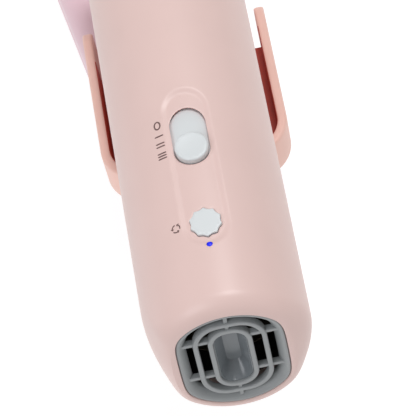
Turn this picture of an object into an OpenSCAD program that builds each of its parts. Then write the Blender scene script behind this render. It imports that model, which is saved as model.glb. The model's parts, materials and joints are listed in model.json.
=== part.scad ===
// Folding hair dryer: a straight barrel on a cradle that swings over a tapered handle.
// Millimetres, +Z up. The origin is on the handle's pivot axis, at the flat underside of the handle.
// The air outlet faces -Y and the controls are on top of the barrel.

/* [Barrel] */
// Outer diameter of the barrel
barrel_d = 55; // [44:0.5:68]
// Wall of the barrel shells
barrel_wall = 2.2; // [1.6:0.1:3]
// From the pivot axis to the middle of the outlet face
barrel_front = 109; // [90:1:135]
// From the pivot axis to the rear edge of the shells
barrel_rear = 60; // [48:1:80]
// Backward lean of the outlet face, in degrees
face_tilt = 12; // [6:1:16]
// Rounding of the nose at the top and bottom
nose_round = 4.5; // [3.5:0.5:6]
// Rounding of the nose at the two sides
nose_side_round = 8; // [6:0.5:10]
// Depth of the shallow track that the controls sit in
track_depth = 0.8; // [0.4:0.1:1]
// Width of that track
track_w = 15; // [13.4:0.2:18]

/* [Outlet grille] */
// Diameter of the grille's round edge
grille_d = 44; // [40:0.5:46]
// Width between the grille's flat sides
grille_w = 36; // [33:0.5:39]
// Height of the grille's centre above the barrel's axis, along the face
grille_up = 0.5; // [0:0.1:1]
// Depth of the grille along the air path
grille_depth = 9; // [7:0.5:12]
// Wall of the grille's outer frame
frame_wall = 3.4; // [2:0.1:3.6]
// Width of the middle ring
mid_w = 24.4; // [23:0.2:26]
// Height of the middle ring
mid_h = 35.2; // [34:0.2:37]
// Corner radius of the middle ring
mid_corner = 9.6; // [8:0.2:11]
// Width of the inner ring
inner_w = 14.6; // [13:0.2:16]
// Height of the inner ring
inner_h = 28.8; // [26:0.2:30]
// Corner radius of the inner ring
inner_corner = 6.6; // [5:0.2:7]
// Wall of both rings
ring_wall = 1.7; // [1.2:0.1:2]
// Thickness of the cross ribs and posts
rib_t = 1.4; // [1:0.1:2]
// Height of the upper cross rib above the grille's centre
rib_up = 9.6; // [7:0.2:11]
// Depth of the lower cross rib below the grille's centre
rib_down = 7.6; // [7:0.2:11]

/* [Controls] */
// Width of the speed slider's slot
slot_w = 12.8; // [12:0.2:13]
// Length of that slot
slot_len = 22.4; // [21:0.2:24]
// From the pivot axis to the middle of the slot
slot_y = 37.2; // [36:0.1:42]
// Diameter of the slider's thumb disc
disc_d = 11.2; // [10:0.2:11.6]
// Height of the thumb disc above the barrel
disc_h = 1.4; // [1:0.1:3]
// From the pivot axis to the mode button
button_y = 71.1; // [70:0.1:76]
// Diameter of the mode button over its lobes
button_d = 10.8; // [9:0.2:12]
// Depth of the mode button's top below the top of the barrel
button_sink = 0.3; // [0:0.1:0.6]
// Number of lobes on the mode button
button_lobes = 10; // [8:1:14]
// Travel of the mode button
button_travel = 0.8; // [0.5:0.1:1]
// From the pivot axis to the indicator lamp
lamp_y = 79.6; // [78.6:0.1:84]
// Diameter of the indicator lamp
lamp_d = 2; // [1.6:0.1:3]

/* [Cradle] */
// Width of the cradle
cradle_w = 67.6; // [66:0.5:80]
// Thickness of the cradle's walls and floor
cradle_t = 3.6; // [2.4:0.1:4]
// From the pivot axis to the front of the cradle
cradle_front = 21; // [20:0.5:36]
// From the pivot axis to the rear of the cradle's floor
cradle_rear = 32.6; // [28:0.2:40]
// Length of the left ear past the floor
ear_left = 15.9; // [8:0.1:18]
// Length of the right ear past the floor
ear_right = 12.3; // [8:0.1:18]
// Rounding of the ears' upper rear corners
ear_round = 8; // [4:0.5:12]
// Height of the cradle's rim above its floor's underside
cradle_h = 17; // [15:0.5:19]
// Radius of the front corners in plan
cradle_corner = 14; // [10:1:16]

/* [Handle] */
// Thickness of the handle
handle_h = 34; // [30:0.5:40]
// Radius of the handle's head, about the pivot
head_r = 26.7; // [24:0.1:30]
// Radius of the handle's tail
tail_r = 16; // [14:0.5:20]
// From the pivot to the centre of the tail
handle_len = 130; // [115:1:150]
// Wall of the handle's shells
handle_wall = 2.4; // [1.8:0.1:3]
// Rounding of the handle's long edges
handle_round = 7; // [4:0.5:9]
// Swing of the handle from the line of the barrel, as drawn, in degrees
swing = 15; // [0:1:60]

/* [Pivot] */
// Outer radius of the hollow pivot
pivot_r = 8; // [7:0.1:9]
// Bore of the hollow pivot, for the wires
pivot_bore_r = 5.5; // [4.5:0.1:6]
// Radius of the pivot nut
nut_r = 12; // [11:0.5:13]

/* [Cord gland] */
// Radius of the hole for the mains cord
cord_hole_r = 3.6; // [3:0.1:4.2]
// Outer radius of the gland
gland_r = 6; // [5.4:0.1:7]

/* [Clearances] */
// Radial clearance of a running fit
run_fit = 0.05; // [0.02:0.01:0.1]
// Gap between two pieces that only sit side by side
gap = 0.1; // [0.05:0.05:0.2]
// Gap round a button or slider that moves in a hole
move_gap = 0.3; // [0.2:0.05:0.4]
// Gap between the handle and the cradle
swing_gap = 1; // [0.8:0.1:1.5]

/* [Hidden] */

$fn = 64;
far = 400; // longer than anything in the model
cut = 1; // how far a cutter runs past the face that it opens

barrel_r = barrel_d / 2;
bore_r = barrel_r - barrel_wall;
cradle_z = handle_h + swing_gap;
floor_z = cradle_z + cradle_t;
saddle_min = 4.4; // least thickness of plastic under the barrel
barrel_z = floor_z + saddle_min + barrel_r;
top_z = barrel_z + barrel_r;

// The nose is turned about the tilted face, so its rounding reaches out to the barrel's top edge there
nose_lip = nose_round / cos(face_tilt) + nose_round * sin(face_tilt);
nose_r = barrel_r / cos(face_tilt) + nose_lip * tan(face_tilt);

// Air path
tube_r = barrel_r - 9.5;
tube_wall = 0.8;
tube_y0 = -(barrel_front - grille_depth * cos(face_tilt) - tube_r * sin(face_tilt) - 1.5);
tube_y1 = -22;
duct_r = tube_r + 2;
duct_wall = 1.2;
duct_y0 = -26;
duct_y1 = 36;
duct_step = 4; // length of the sleeve over the heater tube
flange_t = 2;
hub_r = 12.2;
hub_wall = 1;
motor_r = 10.4;
motor_y0 = -13;
motor_len = 28;
mount_len = 3;
boss_motor = [4, 2]; // radius and height of the motor's rear boss
vane_t = 1.2;
vane_len = 18;
shaft_r = 1.5;
fan_y = 18.5;
fan_len = 10;
fan_hub_r = 8;
fan_blades = 9;
blade_t = 1;
blade_pitch = 40;
stator_vanes = 6;
coil_turns = 11;
coil_wire_r = 0.5;
coil_r = tube_r - 5.2;
coil_end = 10; // length of the heater tube left clear at both ends, together with its boards' margin
board_margin = 4;
mica_t = 0.8;
thermostat_size = [7, 12, 5];
thermostat_back = 22; // from the tube's rear edge
fuse_r = 1.7;
fuse_len = 13;
fuse_place = [-4, -24, 2.2]; // from the tube's rear edge, on the barrel's axis

rib_v = [-rib_down, rib_up];
mid_ring = [mid_w, mid_h, mid_corner];
inner_ring = [inner_w, inner_h, inner_corner];
frame_sink = 0.4; // the grille's frame lies this far below the face
ring_sink = 0.8; // and its rings this far
rib_sink = 1.2; // and its ribs this far
cup_wall = 0.8;
cup_floor = 1.6;
opening_depth = grille_depth + 3;

// Rear end
collar_y0 = barrel_rear - 6;
collar_y1 = barrel_rear + 9;
collar_wall = 2.2;
cover_gap = 0.4;
cover_y0 = barrel_rear + cover_gap;
cover_y1 = barrel_rear + 13;
cover_wall = 2.3;
inlet_slots = 20;
inlet_slot_w = 2.4;
inlet_r0 = 6.5;
inlet_r1 = 20.5;
mesh_t = 0.8;
mesh_cells = 6;
mesh_pitch = 5;
mesh_hole = 3.6;
cover_round = 4;
inlet_stagger = 5; // every second slot starts this much further out
collar_step = 1; // the collar's outer part is this much smaller than the shells' bore

// Controls
pcb_t = 1.2;
pcb_z = barrel_z + tube_r + 0.4;
pcb_top = pcb_z + pcb_t;
pcb_w = 24;
pcb_y0 = -(lamp_y + 4);
pcb_y1 = duct_y0 - 0.5;
track_y0 = -(lamp_y - 0.5);
track_y1 = -(slot_y - slot_len / 2 - 7);
slide_travel = slot_len - disc_d - 2 * move_gap;
disc_y = -(slot_y + slot_len / 2 - move_gap - disc_d / 2);
plate_t = 1.2;
plate_r = bore_r - move_gap;
plate_w = slot_w + 2.4;
plate_y0 = disc_y - disc_d / 2 - slide_travel; // keeps the slot covered when the disc is at its rear end
plate_y1 = -(slot_y - slot_len / 2) + 1;
switch_h = 2.4;
switch_slot_depth = 1.4; // pocket in the switch for the carrier's peg
peg_depth = 1.1; // how far the peg reaches into that pocket
switch_body = [9, 20];
actuator_w = 3;
carrier_t = 1.1;
carrier_w = 10;
carrier_len = 8;
disc_root = 1; // the thumb disc starts this far inside the plate
carrier_z = barrel_z + sqrt(pow(plate_r - plate_t, 2) - carrier_w * carrier_w / 4) - carrier_t;
button_flange_r = button_d / 2 + 1.1;
button_flange_t = 1.2;
scallop_share = 0.5; // radius of a scallop, as a share of the button's radius
scallop_depth = 0.45;
button_flange_z = barrel_z + sqrt(bore_r * bore_r - button_flange_r * button_flange_r)
    - move_gap - button_flange_t;
tact_h = 1.5;
tact_w = 6;
stem_gap = 0.1;
lamp_sink = 0.3; // the lamp lies this far below the top of the barrel
stem_r = 1.6;
spring_r = 5.1;
spring_wall = 0.7;

// Shell bosses and screws
screw_r = 1.3;
head_r_screw = 2.3;
head_h = 2;
head_sink = 0.2;
boss_r = 3.3;
clam_z = barrel_z - (tube_r + bore_r) / 2;
clam_ys = [-88, -56, 46];
clam_depth = 7;
clam_seat = 8;
saddle_boss_r = 3;
saddle_screw = [8, 14];
saddle_boss_top = barrel_z - sqrt(duct_r * duct_r - pow(saddle_screw[0] - saddle_boss_r, 2)) - 0.6;

// Cradle
saddle_w = 34;
saddle_y = 18;
rim_z = cradle_z + cradle_h;

// Pivot
pivot_flange_r = 10.5;
pivot_flange_t = 2;
top_plate_z = handle_h - 5;
wave_t = 0.8;
nut_t = 3.5;
nut_z = top_plate_z - wave_t - nut_t;
pivot_low = nut_z - 1;
washer_r = 18;

// Handle
split_z = handle_h / 2;
tail_end = handle_len + tail_r;
screw_ys = [-(nut_r + 7.5), 88, 116];
screw_low = 1; // height of the handle screws' heads above the underside
cap_ring = 4; // height of the ring inside the pivot cap
cap_ring_wall = 1.5;
cap_r = nut_r + 1;
cap_t = 2.4;
gland_flange_r = gland_r + 1.6;
gland_flange_t = 2;
gland_len = 12;
clamp_y = tail_end - handle_wall - 22;
clamp_size = [20, 7, split_z + 6 - handle_wall];
board_y = 52;
board_z = 6;
board_size = [22, 26, 1.4];
parts_z = board_z + board_size[2];
wire_r = 1.1;
wire_z = parts_z + wire_r;
wire_pitch = 2.6;
wire_land = 2; // how far the wires reach over the power board

// ---- placing ----
module on_axis(y) translate([0, y, barrel_z]) rotate([-90, 0, 0]) children();
module at_face() translate([0, -barrel_front, barrel_z]) rotate([90 - face_tilt, 0, 0]) children();
module at_grille() at_face() translate([0, grille_up, 0]) children();
module on_handle() rotate([0, 0, swing]) children();

module tube(r_out, r_in, len) difference() {
    cylinder(r = r_out, h = len);
    translate([0, 0, -cut]) cylinder(r = r_in, h = len + 2 * cut);
}

// A rounded rectangle made of squares and circles
module round_rect(w, h, r) union() {
    square([w, h - 2 * r], center = true);
    square([w - 2 * r, h], center = true);
    for (sx = [-1, 1], sy = [-1, 1]) translate([sx * (w / 2 - r), sy * (h / 2 - r)]) circle(r);
}

// A track with round ends from y0 to y1
module track(w, y0, y1) union() {
    translate([-w / 2, y0 + w / 2]) square([w, y1 - y0 - w]);
    for (y = [y0 + w / 2, y1 - w / 2]) translate([0, y]) circle(w / 2);
}

// ---- barrel ----
// The outline of a bar of half width r that ends at the origin with one rounded corner
module nose_half(r, round) union() {
    translate([0, -far]) square([r - round, far]);
    translate([0, -far]) square([r, far - round]);
    translate([r - round, -round]) circle(round);
}

// What is cut off the front to leave a nose: all of a slab of the given depth, but for children
module nose_cutter(depth) difference() {
    translate([-far / 2, -far / 2, -depth]) cube([far, far, far]);
    children();
}

// The barrel's form, drawn in by inset
module barrel_form(inset) difference() {
    on_axis(-far / 2) cylinder(r = barrel_r - inset, h = far / 2 + barrel_rear);
    at_face() translate([0, 0, -inset]) {
        nose_cutter(nose_lip) rotate_extrude() intersection() {
            nose_half(nose_r - inset, nose_lip);
            translate([0, -far]) square(2 * far);
        }
        nose_cutter(nose_side_round) rotate([90, 0, 0]) linear_extrude(height = far, center = true)
            for (m = [0, 1]) mirror([m, 0]) nose_half(barrel_r + 0.5 - inset, nose_side_round);
    }
}

module grille_outline(inset) intersection() {
    circle(grille_d / 2 - inset);
    square([grille_w - 2 * inset, far], center = true);
}

// Everything cut out of the barrel's top for the controls
module control_cuts() {
    difference() {
        translate([0, 0, barrel_z]) linear_extrude(height = far) track(track_w, track_y0, track_y1);
        on_axis(-far / 2) cylinder(r = barrel_r - track_depth, h = far);
    }
    translate([0, 0, barrel_z]) linear_extrude(height = far)
        translate([0, -slot_y]) track(slot_w, -slot_len / 2, slot_len / 2);
    translate([0, -button_y, barrel_z]) linear_extrude(height = far) flutes(button_d / 2 + move_gap);
    translate([0, -lamp_y, barrel_z]) cylinder(r = lamp_d / 2 + gap / 2, h = far);
}

module clam_boss(side) intersection() {
    for (y = clam_ys) translate([side > 0 ? 0 : -far, y, clam_z]) rotate([0, 90, 0])
        cylinder(r = boss_r, h = far);
    on_axis(-far / 2) cylinder(r = barrel_r - barrel_wall / 2, h = far);
}

module saddle_boss(side) for (y = [-1, 1])
    intersection() {
        translate([side * saddle_screw[0], y * saddle_screw[1], 0])
            cylinder(r = saddle_boss_r, h = saddle_boss_top);
        on_axis(-far / 2) cylinder(r = barrel_r - barrel_wall / 2, h = far);
    }

module barrel_half(side) difference() {
    union() {
        difference() {
            barrel_form(0);
            barrel_form(barrel_wall);
            on_axis(barrel_rear - 20) cylinder(r = bore_r, h = 40);
            at_grille() translate([0, 0, -opening_depth]) linear_extrude(height = far)
                grille_outline(-gap);
            control_cuts();
            translate([side > 0 ? -far : 0, -far / 2, 0]) cube([far, far, far]);
        }
        clam_boss(side);
        saddle_boss(side);
    }
    for (y = clam_ys) translate([-clam_depth, y, clam_z]) rotate([0, 90, 0]) {
        cylinder(r = screw_r, h = clam_depth + clam_seat + cut);
        translate([0, 0, clam_depth + clam_seat]) cylinder(r = head_r_screw + gap, h = far);
    }
    for (x = [-1, 1], y = [-1, 1]) translate([x * saddle_screw[0], y * saddle_screw[1], 0])
        cylinder(r = screw_r, h = saddle_boss_top + cut);
}

module barrel_left_shell() color("#dcb4ae") barrel_half(-1);
module barrel_right_shell() color("#dcb4ae") barrel_half(1);

module barrel_screws() color("silver") for (y = clam_ys)
    translate([-clam_depth, y, clam_z]) rotate([0, 90, 0]) {
        cylinder(r = screw_r, h = clam_depth + clam_seat);
        translate([0, 0, clam_depth + clam_seat]) cylinder(r = head_r_screw, h = head_h);
    }

// ---- outlet ----
module ring_2d(size, wall) difference() {
    round_rect(size[0], size[1], size[2]);
    round_rect(size[0] - 2 * wall, size[1] - 2 * wall, size[2] - wall);
}

module outlet_grille() color("#8c9092") at_grille() translate([0, 0, -grille_depth]) union() {
    linear_extrude(height = grille_depth - frame_sink) difference() {
        grille_outline(0);
        grille_outline(frame_wall);
    }
    linear_extrude(height = grille_depth - rib_sink) difference() {
        intersection() {
            grille_outline(frame_wall / 2);
            union() {
                for (v = rib_v) translate([0, v]) square([grille_w, rib_t], center = true);
                square([rib_t, grille_d], center = true);
            }
        }
        round_rect(inner_ring[0] - ring_wall, inner_ring[1] - ring_wall,
            inner_ring[2] - ring_wall / 2);
    }
    for (ring = [mid_ring, inner_ring])
        linear_extrude(height = grille_depth - ring_sink) ring_2d(ring, ring_wall);
}

module outlet_cup() color("#6f757c") at_grille() translate([0, 0, -grille_depth]) {
    w = inner_ring[0] - 2 * ring_wall - 2 * gap;
    h = inner_ring[1] - 2 * ring_wall - 2 * gap;
    r = inner_ring[2] - ring_wall - gap;
    difference() {
        linear_extrude(height = grille_depth - rib_sink) round_rect(w, h, r);
        translate([0, 0, cup_floor]) linear_extrude(height = grille_depth)
            round_rect(w - 2 * cup_wall, h - 2 * cup_wall, r - cup_wall);
    }
}

// ---- heater ----
module heater_tube() color("#cfc4a6") on_axis(tube_y0)
    tube(tube_r, tube_r - tube_wall, tube_y1 - tube_y0);

module coil_rings(wire_r) {
    pitch = (tube_y1 - tube_y0 - 2 * coil_end) / (coil_turns - 1);
    for (i = [0:coil_turns - 1]) on_axis(tube_y0 + coil_end - board_margin + i * pitch)
        rotate_extrude() translate([coil_r, 0]) circle(wire_r, $fn = 24);
}

module heater_boards() color("#d8d2bd") difference() {
    len = tube_y1 - tube_y0 - 2 * board_margin;
    half = tube_r - tube_wall - gap;
    translate([0, tube_y0 + board_margin, barrel_z]) union() {
        translate([-half, 0, -mica_t / 2]) cube([2 * half, len, mica_t]);
        translate([-mica_t / 2, 0, -half]) cube([mica_t, len, 2 * half]);
    }
    coil_rings(coil_wire_r + gap);
}

module heater_coil() color("#8a7a70") coil_rings(coil_wire_r);

module thermostat() color("#b9b2a6")
    translate([mica_t / 2 + gap, tube_y1 - thermostat_back, barrel_z + mica_t / 2 + gap])
        cube(thermostat_size);

module thermal_fuse() color("#c9a86a") translate([0, tube_y1, barrel_z] + fuse_place)
    rotate([-90, 0, 0]) cylinder(r = fuse_r, h = fuse_len);

// ---- fan and motor ----
module fan_housing() color("#3c3f42") difference() {
    union() {
        on_axis(duct_y0) tube(duct_r - 1, tube_r + run_fit, duct_step + 1);
        on_axis(duct_y0 + duct_step) tube(duct_r, duct_r - duct_wall, duct_y1 - duct_y0 - duct_step);
        for (y = [duct_y0 + duct_step, duct_y1 - 5])
            on_axis(y) tube(bore_r - gap, duct_r - duct_wall, flange_t);
        on_axis(motor_y0 + 1) tube(hub_r, hub_r - hub_wall, motor_len - 4);
        for (i = [0:stator_vanes - 1]) on_axis(motor_y0 + 2) rotate([0, 0, i * 360 / stator_vanes])
            translate([hub_r - hub_wall / 2, -vane_t / 2, 0])
                cube([duct_r - duct_wall / 2 - hub_r + hub_wall / 2, vane_t, vane_len]);
    }
    translate([-pcb_w, duct_y0 - cut, barrel_z + duct_r + 0.2]) cube([2 * pcb_w, 8, far]);
    for (y = [duct_y0 + duct_step, duct_y1 - 5]) translate([0, y - cut, clam_z]) rotate([-90, 0, 0])
        cylinder(r = boss_r + gap, h = flange_t + 2 * cut);
}

module motor_mounts() color("#1d1d1f") for (y = [motor_y0 + 2, motor_y0 + motor_len - 8])
    on_axis(y) tube(hub_r - hub_wall, motor_r, mount_len);

module motor_body() color("#a9adb0") on_axis(motor_y0) difference() {
    union() {
        cylinder(r = motor_r, h = motor_len);
        translate([0, 0, motor_len]) cylinder(r = boss_motor[0], h = boss_motor[1]);
    }
    translate([0, 0, -cut]) cylinder(r = shaft_r + run_fit, h = motor_len + boss_motor[1] + 2 * cut);
}

module motor_shaft() color("silver") on_axis(motor_y0 - 2)
    cylinder(r = shaft_r, h = fan_y + fan_len - motor_y0 + 3);

module fan_impeller() color("#e3e3df") on_axis(fan_y) difference() {
    union() {
        cylinder(r = fan_hub_r, h = fan_len);
        intersection() {
            cylinder(r = duct_r - duct_wall - 0.5, h = fan_len);
            for (i = [0:fan_blades - 1]) rotate([0, 0, i * 360 / fan_blades])
                translate([fan_hub_r - 1, 0, fan_len / 2]) rotate([blade_pitch, 0, 0])
                    translate([0, -blade_t / 2, -fan_len]) cube([duct_r, blade_t, 2 * fan_len]);
        }
    }
    translate([0, 0, -cut]) cylinder(r = shaft_r, h = fan_len + 2 * cut);
}

// ---- rear end ----
module rear_collar() color("#8c9092") on_axis(collar_y0) difference() {
    union() {
        cylinder(r = bore_r - gap / 2, h = barrel_rear - collar_y0);
        cylinder(r = bore_r - collar_step, h = collar_y1 - collar_y0);
    }
    translate([0, 0, -cut]) cylinder(r = bore_r - collar_step - collar_wall, h = far);
    translate([0, 0, collar_y1 - collar_y0 - mesh_t])
        cylinder(r = bore_r - collar_step - collar_wall / 2, h = far);
}

module filter_mesh() color("#54575a") on_axis(collar_y1 - mesh_t) difference() {
    cylinder(r = bore_r - collar_step - collar_wall / 2 - gap, h = mesh_t);
    for (i = [0:mesh_cells - 1], j = [0:mesh_cells - 1])
        translate([(i - (mesh_cells - 1) / 2) * mesh_pitch - mesh_hole / 2,
                (j - (mesh_cells - 1) / 2) * mesh_pitch - mesh_hole / 2, -cut])
            cube([mesh_hole, mesh_hole, mesh_t + 2 * cut]);
}

module filter_cover() color("#dcb4ae") on_axis(cover_y0) difference() {
    h = cover_y1 - cover_y0;
    rotate_extrude() union() {
        square([barrel_r - cover_round, h]);
        square([barrel_r, h - cover_round]);
        translate([barrel_r - cover_round, h - cover_round]) circle(cover_round);
    }
    translate([0, 0, -cut]) cylinder(r = bore_r - collar_step + cover_gap, h = h - cover_wall + cut);
    for (i = [0:inlet_slots - 1]) rotate([0, 0, i * 360 / inlet_slots])
        translate([inlet_r0 + (i % 2) * inlet_stagger, -inlet_slot_w / 2, 0])
            cube([inlet_r1 - inlet_r0 - (i % 2) * inlet_stagger, inlet_slot_w, far]);
}

// ---- controls ----
// The scalloped outline of the mode button
module flutes(r) difference() {
    scallop = r * scallop_share;
    circle(r);
    for (i = [0:button_lobes - 1]) rotate(i * 360 / button_lobes)
        translate([r + scallop - scallop_depth, 0]) circle(scallop, $fn = 32);
}

module control_board() color("#2f5f43") translate([-pcb_w / 2, pcb_y0, pcb_z])
    cube([pcb_w, pcb_y1 - pcb_y0, pcb_t]);

module speed_switch() color("#2a2a2c") translate([0, disc_y + slide_travel / 2, pcb_top]) difference() {
    translate([-switch_body[0] / 2, -switch_body[1] / 2, 0])
        cube([switch_body[0], switch_body[1], switch_h]);
    translate([-actuator_w / 2 - move_gap, -(slide_travel + actuator_w) / 2 - move_gap,
            switch_h - switch_slot_depth])
        cube([actuator_w + 2 * move_gap, slide_travel + actuator_w + 2 * move_gap,
            switch_slot_depth + cut]);
}

module slider_carrier() color("#3a3a3c") {
    peg_z = pcb_top + switch_h - peg_depth;
    translate([-carrier_w / 2, disc_y - carrier_len / 2, carrier_z])
        cube([carrier_w, carrier_len, carrier_t]);
    translate([-actuator_w / 2, disc_y - actuator_w / 2, peg_z])
        cube([actuator_w, actuator_w, carrier_z + carrier_t / 2 - peg_z]);
}

module speed_slider() color("#eef0f0") union() {
    intersection() {
        on_axis(plate_y0) tube(plate_r, plate_r - plate_t, plate_y1 - plate_y0);
        translate([-plate_w / 2, -far / 2, barrel_z]) cube([plate_w, far, far]);
    }
    translate([0, disc_y, barrel_z + plate_r - disc_root])
        cylinder(r = disc_d / 2, h = barrel_r + disc_h - plate_r + disc_root);
}

module mode_button() color("#eef0f0") translate([0, -button_y, 0]) {
    flange_top = button_flange_z + button_flange_t;
    stem_z = pcb_top + tact_h + button_travel + stem_gap;
    translate([0, 0, flange_top]) linear_extrude(height = top_z - button_sink - flange_top)
        flutes(button_d / 2);
    translate([0, 0, button_flange_z]) cylinder(r = button_flange_r, h = button_flange_t);
    translate([0, 0, stem_z]) cylinder(r = stem_r, h = button_flange_z + stem_gap - stem_z);
}

module button_spring() color("#d9d9d4") translate([0, -button_y, pcb_top])
    tube(spring_r, spring_r - spring_wall, button_flange_z - pcb_top);

module button_switch() color("#2a2a2c") translate([-tact_w / 2, -button_y - tact_w / 2, pcb_top])
    cube([tact_w, tact_w, tact_h]);

module lamp_lens() color("#2450e0") translate([0, -lamp_y, pcb_top])
    cylinder(r = lamp_d / 2, h = top_z - lamp_sink - pcb_top);

// ---- cradle ----
// The cradle's plan, drawn in by inset and closed at the rear by y_end
module cradle_plan(inset, y_end) {
    w = cradle_w / 2 - inset;
    r = cradle_corner - inset;
    y0 = -cradle_front + inset;
    union() {
        translate([-w, y0 + r]) square([2 * w, y_end - y0 - r]);
        translate([-w + r, y0]) square([2 * (w - r), r + cut]);
        for (s = [-1, 1]) translate([s * (w - r), y0 + r]) circle(r);
    }
}

// What is cut off an ear to end it, with its upper rear corner round when seen from the side
module ear_trim(side, len)
    translate([side * (cradle_w - cradle_t) / 2 - cradle_t / 2 - cut, cradle_rear + len, rim_z])
        rotate([0, 90, 0]) linear_extrude(height = cradle_t + 2 * cut) difference() {
            translate([-cut, -ear_round]) square([cradle_h + 2 * cut, far]);
            translate([ear_round, -ear_round]) circle(ear_round);
            translate([ear_round, -ear_round - cut]) square([cradle_h + 2 * cut, ear_round + cut]);
        }

module hinge_cradle() color("#d99a8c") difference() {
    union() {
        translate([0, 0, cradle_z]) linear_extrude(height = cradle_t) cradle_plan(0, cradle_rear);
        translate([0, 0, cradle_z]) linear_extrude(height = cradle_h) difference() {
            cradle_plan(0, cradle_rear + max(ear_left, ear_right));
            cradle_plan(cradle_t, far);
        }
        translate([-saddle_w / 2, -saddle_y, cradle_z]) cube([saddle_w, 2 * saddle_y, cradle_h]);
    }
    on_axis(-far / 2) cylinder(r = barrel_r + gap, h = far);
    ear_trim(-1, ear_left);
    ear_trim(1, ear_right);
    translate([0, 0, cradle_z - cut]) cylinder(r = pivot_r, h = far);
    translate([0, 0, floor_z]) cylinder(r = pivot_flange_r + gap, h = far);
    for (x = [-1, 1], y = [-1, 1])
        translate([x * saddle_screw[0], y * saddle_screw[1], cradle_z - cut]) {
            cylinder(r = screw_r + gap, h = far);
            cylinder(r = head_r_screw + gap, h = cut + head_h + head_sink);
        }
}

module cradle_screws() color("silver") for (x = [-1, 1], y = [-1, 1])
    translate([x * saddle_screw[0], y * saddle_screw[1], cradle_z + head_sink]) {
        cylinder(r = head_r_screw, h = head_h);
        cylinder(r = screw_r, h = saddle_boss_top - cradle_z - 1);
    }

// ---- pivot ----
module pivot_tube() color("#b8bcc0") difference() {
    union() {
        translate([0, 0, pivot_low]) cylinder(r = pivot_r, h = floor_z - pivot_low + pivot_flange_t);
        translate([0, 0, floor_z]) cylinder(r = pivot_flange_r, h = pivot_flange_t);
    }
    translate([0, 0, pivot_low - cut]) cylinder(r = pivot_bore_r, h = far);
}

module swing_washer() color("#f1efe8") translate([0, 0, handle_h])
    tube(washer_r, pivot_r + 2 * run_fit, swing_gap - run_fit);

module wave_washer() color("silver") translate([0, 0, top_plate_z - wave_t + run_fit])
    tube(nut_r - 0.5, pivot_r + 2 * run_fit, wave_t - run_fit);

module pivot_nut() color("#9a9da0") translate([0, 0, nut_z]) tube(nut_r, pivot_r, nut_t);

// ---- handle ----
// A tapered bar with round ends and rounded long edges, drawn in by inset
module handle_form(inset) {
    e = handle_round - inset;
    h = handle_h - 2 * inset;
    hull() for (end = [[0, head_r], [handle_len, tail_r]], a = [0:18:90])
        translate([0, end[0], inset + e * (1 - sin(a))])
            cylinder(r = end[1] - inset - e * (1 - cos(a)), h = h - 2 * e * (1 - sin(a)), $fn = 40);
}

module handle_half(z0, z1) intersection() {
    union() {
        difference() {
            handle_form(0);
            handle_form(handle_wall);
        }
        intersection() {
            handle_form(handle_wall / 2);
            for (y = screw_ys) translate([0, y, 0]) cylinder(r = saddle_boss_r, h = handle_h);
        }
    }
    translate([-far / 2, -far / 2, z0]) cube([far, far, z1 - z0]);
}

module gland_cut(r) translate([0, tail_end - gland_len, split_z]) rotate([-90, 0, 0])
    cylinder(r = r, h = far);

module handle_top_shell() color("#d8b8ba") on_handle() difference() {
    union() {
        handle_half(split_z, handle_h);
        translate([0, 0, top_plate_z]) cylinder(r = nut_r + 3, h = handle_h - top_plate_z);
    }
    translate([0, 0, split_z - cut]) cylinder(r = pivot_r + run_fit, h = far);
    gland_cut(gland_r);
    for (y = screw_ys) translate([0, y, 0]) cylinder(r = screw_r, h = handle_h - handle_wall - 2);
}

module handle_bottom_shell() color("#d8b8ba") on_handle() difference() {
    handle_half(0, split_z);
    translate([0, 0, -cut]) cylinder(r = cap_r + gap, h = far);
    gland_cut(gland_r);
    for (y = screw_ys) translate([0, y, -cut]) {
        cylinder(r = screw_r + gap, h = far);
        cylinder(r = head_r_screw + gap, h = cut + screw_low + head_h);
    }
}

module pivot_cap() color("#c9a5a7") on_handle() {
    cylinder(r = cap_r, h = cap_t);
    translate([0, 0, cap_t]) tube(cap_r, cap_r - cap_ring_wall, cap_ring);
}

module handle_screws() color("silver") on_handle() for (y = screw_ys) translate([0, y, screw_low]) {
    cylinder(r = head_r_screw, h = head_h);
    cylinder(r = screw_r, h = handle_h - handle_wall - 5);
}

// ---- inside the handle ----
module power_board() color("#2f5f43") on_handle() translate([-board_size[0] / 2, board_y, board_z])
    cube(board_size);

module capacitor() color("#c7a24a") on_handle() translate([-9, board_y + 3, parts_z])
    cube([12, 9, 11]);

module ion_generator() color("#32363c") on_handle() translate([-9, board_y + 14, parts_z])
    cube([18, 10, 12]);

module cord_clamp() color("#2a2a2c") on_handle() difference() {
    translate([-clamp_size[0] / 2, clamp_y, handle_wall + gap]) cube(clamp_size);
    translate([0, clamp_y - cut, split_z]) rotate([-90, 0, 0])
        cylinder(r = cord_hole_r, h = clamp_size[1] + 2 * cut);
}

module cord_gland() color("#3a3a3c") on_handle() translate([0, tail_end + gap, split_z])
    rotate([-90, 0, 0]) difference() {
        union() {
            cylinder(r1 = gland_flange_r, r2 = gland_flange_r - 0.6, h = gland_flange_t);
            translate([0, 0, -gland_len]) cylinder(r = gland_r - gap, h = gland_len + cut);
        }
        translate([0, 0, -gland_len - cut]) cylinder(r = cord_hole_r, h = far);
    }

// Three insulated wires from the power board, along the handle and up through the hollow pivot
module supply_wires() color("#7c3b32") for (i = [-1:1]) union() {
    translate([0, 0, wire_z]) rotate([0, 0, i * 120]) translate([0, wire_pitch, 0])
        cylinder(r = wire_r, h = floor_z + pivot_flange_t - wire_z);
    on_handle() translate([i * wire_pitch, 0, wire_z]) rotate([-90, 0, 0])
        cylinder(r = wire_r, h = board_y + wire_land);
}

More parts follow.
